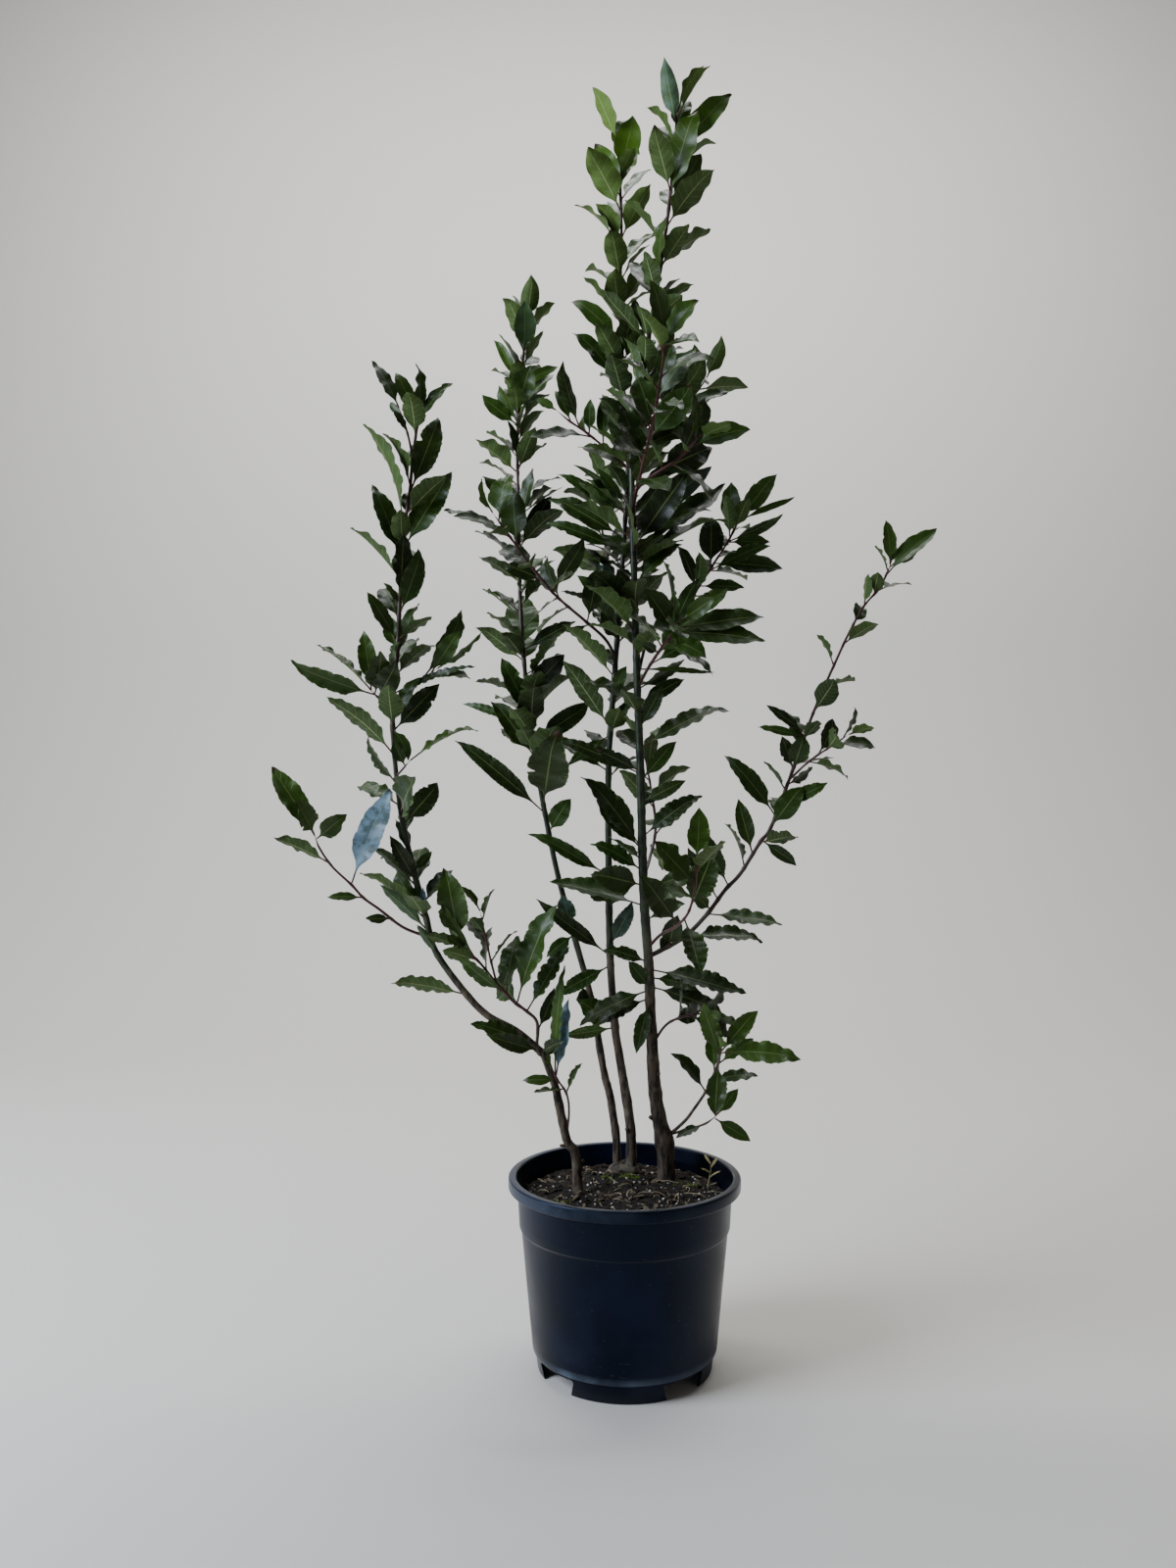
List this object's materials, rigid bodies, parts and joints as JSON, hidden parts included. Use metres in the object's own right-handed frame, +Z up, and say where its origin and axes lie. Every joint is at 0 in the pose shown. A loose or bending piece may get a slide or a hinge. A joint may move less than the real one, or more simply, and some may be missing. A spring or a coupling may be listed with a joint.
{
  "type": "potted bay laurel",
  "caption": "Tall young bay laurel with slim woody trunks, leafy stems and side sprays of glossy pointed leaves, growing in a round black nursery pot filled with soil.",
  "frame": {"origin": "on the resting surface under the pot's axis, within a few millimetres of the bottom middle of the whole plant's box", "axes": "+X to the right as seen from the front, +Y to the back, +Z up the stems"},
  "size_m": [0.7567, 0.4338, 1.4749],
  "materials": {
    "black_plastic": "satin",
    "soil": "matte",
    "bark": "matte",
    "green_leaf": "satin",
    "dry_leaf": "matte"
  },
  "bodies": {
    "root": {"pot": "black_plastic", "potting_soil": "soil", "trunk_left": "bark", "trunk_centre_pair": "bark", "trunk_right": "bark", "leafy_stem_left": "green_leaf", "leafy_stem_centre_left": "green_leaf", "leafy_stem_centre_right": "green_leaf", "leafy_stem_right": "green_leaf", "spray_far_left": "green_leaf", "spray_left_low": "green_leaf", "basal_twig_left": "green_leaf", "spray_grey_twig": "green_leaf", "spray_front_centre": "green_leaf", "spray_right_high": "green_leaf", "spray_right_front": "green_leaf", "spray_crown_front": "green_leaf", "spray_crown_back": "green_leaf", "branch_far_right": "green_leaf", "spray_low_right": "green_leaf", "sprig_low_right": "green_leaf", "sprig_above_burl": "green_leaf", "spray_back_low": "green_leaf", "spray_back_high": "green_leaf", "spray_front_high": "green_leaf", "spray_front_low": "green_leaf", "dry_weed_seedling": "dry_leaf"}
  },
  "joints": []
}
